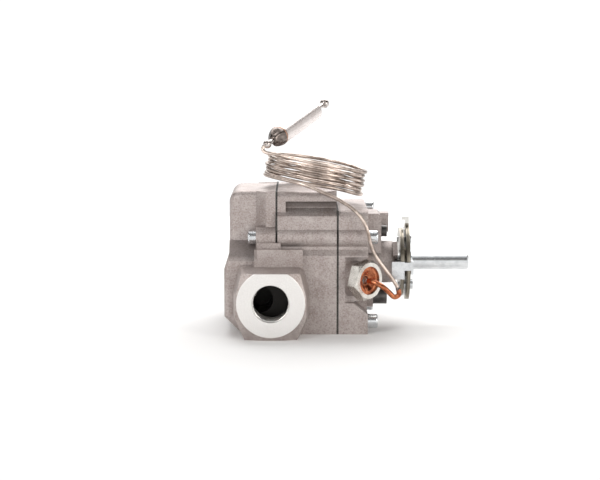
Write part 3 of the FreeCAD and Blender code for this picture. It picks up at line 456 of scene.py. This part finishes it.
def dress():
    """Every CAD node gets its slot's material."""
    looks = {
        "cast_aluminium": cast_paint(),
        "thread": metal_paint("thread_metal", (0.80, 0.79, 0.77), (0.60, 0.58, 0.56),
                              (0.12, 0.25)),
        "gasket_fibre": dull_paint("gasket", (0.05, 0.045, 0.04), (0.015, 0.014, 0.013)),
        "zinc_steel": metal_paint("zinc", (0.72, 0.735, 0.745), (0.58, 0.595, 0.61),
                                  (0.16, 0.3)),
        "nickel_steel": metal_paint("nickel", (0.78, 0.75, 0.70), (0.60, 0.57, 0.52),
                                    (0.2, 0.34)),
        "copper": metal_paint("copper", (0.60, 0.22, 0.105), (0.23, 0.062, 0.032),
                              (0.2, 0.36), 0.002),
        # The capillary's large, very dark patches are partly tarnish and partly painted reflection:
        # dark bands standing in for dark surroundings mirrored in the wire.
        "capillary_steel": metal_paint("capillary", (0.72, 0.61, 0.54), (0.17, 0.125, 0.10),
                                       (0.28, 0.35), 0.007, fine=0.002, depth=0.000001),
        "bulb_steel": metal_paint("bulb", (0.84, 0.78, 0.755), (0.76, 0.69, 0.665),
                                  (0.27, 0.34), 0.004, metallic=0.72),
        "braze": metal_paint("braze", (0.26, 0.22, 0.20), (0.08, 0.063, 0.055),
                             (0.2, 0.34), 0.0013),
        "bead": metal_paint("bead", (0.74, 0.69, 0.66), (0.16, 0.125, 0.11),
                            (0.18, 0.3), 0.0011),
        "copper_braze": metal_paint("copper_braze", (0.50, 0.30, 0.22), (0.30, 0.17, 0.12),
                                    (0.24, 0.4), 0.0012),
        "brass": metal_paint("brass", (0.78, 0.62, 0.33), (0.55, 0.40, 0.18), (0.2, 0.34)),
        "rubber": dull_paint("rubber", (0.03, 0.03, 0.03), (0.012, 0.012, 0.012), 0.55),
        "spring_steel": metal_paint("spring", (0.52, 0.51, 0.50), (0.36, 0.34, 0.33),
                                    (0.22, 0.36)),
        "dial_plate": metal_paint("dial_plate", (0.34, 0.305, 0.25), (0.09, 0.078, 0.06),
                                  (0.2, 0.36), 0.02, brush=(9, 1, 1), fine=0.0008,
                                  streak=(55, 1, 1), pale_above=BRACKET_TAB),
        "black_oxide": metal_paint("black_oxide", (0.15, 0.142, 0.138), (0.07, 0.067, 0.065),
                                   (0.28, 0.45)),
    }
    for part in frame["record"]["subparts"]:
        node = nodes[part["node"]]
        node.data.materials.clear()
        node.data.materials.append(looks[BEADS.get(part["node"], part["material_slot"])])
    return looks


# Detail pieces: closed meshes, in millimetres until they are placed

def finish_piece(name, points, faces, place, material):
    mesh = bpy.data.meshes.new(name)
    mesh.from_pydata([place @ (Vector(p) * MM) for p in points], [], faces)
    work = bmesh.new()
    work.from_mesh(mesh)
    bmesh.ops.recalc_face_normals(work, faces=work.faces)
    work.to_mesh(mesh)
    work.free()
    mesh.materials.append(material)
    for face in mesh.polygons:
        face.use_smooth = True
    piece = bpy.data.objects.new(name, mesh)
    bpy.context.scene.collection.objects.link(piece)
    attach(piece, BODY)
    return piece


def along(start, direction):
    """Local Z laid along a direction from a start in millimetres."""
    turn = Vector(direction).to_track_quat("Z", "Y").to_matrix().to_4x4()
    return Matrix.Translation(Vector(start) * MM) @ turn


def turned(profile, around=96, shape=None):
    """Points and faces of a turned piece from (distance, radius) pairs; a radius of 0 closes an
    end. shape(angle, distance) scales the radius."""
    points, faces, rings = [], [], []
    for distance, radius in profile:
        if radius == 0:
            rings.append([len(points)])
            points.append((0, 0, distance))
            continue
        rings.append(list(range(len(points), len(points) + around)))
        for i in range(around):
            angle = math.tau * i / around
            r = radius * (shape(angle, distance) if shape else 1)
            points.append((r * math.cos(angle), r * math.sin(angle), distance))
    for a, b in zip(rings, rings[1:]):
        for i in range(around):
            j = (i + 1) % around
            face = [a[i % len(a)], a[j % len(a)], b[j % len(b)], b[i % len(b)]]
            faces.append(list(dict.fromkeys(face)))
    return points, faces


def hoop(profile, around=96):
    """A closed ring: the profile's last point joins its first."""
    points, faces = turned(profile + profile[:1], around)
    count = len(profile) * around
    faces = [[i % count for i in face] for face in faces]
    return points[:count], faces


THREAD_START, THREAD_LENGTH = 1.0, 10.2
THREAD_CREST, THREAD_ROOT = 6.85, 7.43
THREAD_PITCH = 1.41
ROOT_HALF, CREST_HALF = 0.6, 0.06
THREAD_SUNK = 0.02
POINTS_AROUND = 64


def thread():
    """One helical ridge with a V section, fading in and out at its ends."""
    steps = int(THREAD_LENGTH / THREAD_PITCH * POINTS_AROUND)
    points, faces = [], []
    for i in range(steps + 1):
        share = min(i, steps - i) / (POINTS_AROUND / 3)
        top = THREAD_ROOT - THREAD_SUNK + (THREAD_CREST - THREAD_ROOT) * min(1, share)
        angle = math.tau * i / POINTS_AROUND
        middle = THREAD_START + i / POINTS_AROUND * THREAD_PITCH
        for distance, radius in ((middle - ROOT_HALF, THREAD_ROOT), (middle - CREST_HALF, top),
                                 (middle + CREST_HALF, top), (middle + ROOT_HALF, THREAD_ROOT)):
            points.append((radius * math.cos(angle), radius * math.sin(angle), distance))
        if i:
            a, b = 4 * (i - 1), 4 * i
            faces += [[a + j, b + j, b + (j + 1) % 4, a + (j + 1) % 4] for j in range(4)]
    last = 4 * steps
    faces += [[0, 1, 2, 3], [last + 3, last + 2, last + 1, last]]
    return points, faces


def pipe_threads(material):
    points, faces = thread()
    for name, mouth, inward in (("inlet_thread", 0, 1), ("outlet_thread", PIPE_LENGTH, -1)):
        finish_piece(name, points, faces, along((0, mouth, 0), (0, inward, 0)), material)


BULB_START = (-1.6, 25.2, 60.3)
BULB_AXIS = (24, 55, 14)
SHOULDER_AT = 5.3
GLAND_AXIS = (1, -1, 0)
FLUTES = 5
FLUTE_DEPTH = 0.2
FLUTE_AT, FLUTE_SPREAD = 2.2, 1.7


def bulb_details(looks):
    """The bulb's crimped shoulder with its flutes, and the braze round its wide end."""
    def flutes(angle, distance):
        depth = FLUTE_DEPTH * math.exp(-((distance - FLUTE_AT) / FLUTE_SPREAD) ** 2)
        return 1 - depth * (0.5 - 0.5 * math.cos(FLUTES * angle + 0.7)) ** 0.7

    place = along(Vector(BULB_START) + Vector(BULB_AXIS).normalized() * SHOULDER_AT, BULB_AXIS)
    cone = [(0.02, 0), (0.02, 1.3), (0.25, 1.6), (0.6, 1.9), (1.1, 2.3), (1.7, 2.75), (2.3, 3.12),
            (2.9, 3.42), (3.5, 3.68), (4.1, 3.84), (4.6, 3.92), (5.2, 3.94), (5.95, 3.9), (5.95, 0)]
    points, faces = turned(cone, 120, flutes)
    shoulder = finish_piece("bulb_crimp", points, faces, place, looks["braze"])
    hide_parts("bulb_shoulder")
    lip = [(5.4, 3.88), (5.65, 4.0), (6.0, 4.06), (6.4, 4.02), (6.7, 3.9)]
    points, faces = hoop(lip)
    rim = finish_piece("bulb_braze_rim", points, faces, place, looks["copper_braze"])
    return [shoulder, rim, "bulb_bead", "bulb_shell", "bulb_tip"]


def solder(looks):
    """Fillets of solder where the sleeve leaves the cup and the capillary leaves the sleeve."""
    root = along((37.1, 12.9, 7.45), GLAND_AXIS)
    fillet = [(0.0, 0.9), (0.0, 2.15), (0.25, 1.75), (0.6, 1.4), (1.1, 1.15), (1.7, 0.95)]
    points, faces = hoop(fillet, 48)
    finish_piece("cup_solder", points, faces, root, looks["braze"])
    mouth = along((50.06, 8.39, 4.35), (-0.515, 0.06, 0.855))
    collar = [(0.0, 0.66), (0.0, 1.02), (0.25, 1.02), (0.6, 0.92), (1.0, 0.74), (1.1, 0.66)]
    points, faces = hoop(collar, 48)
    finish_piece("sleeve_solder", points, faces, mouth, looks["braze"])


camera()
studio()
looks = dress()
pipe_threads(looks["thread"])
solder(looks)
capillary(looks["capillary_steel"], bulb_details(looks))
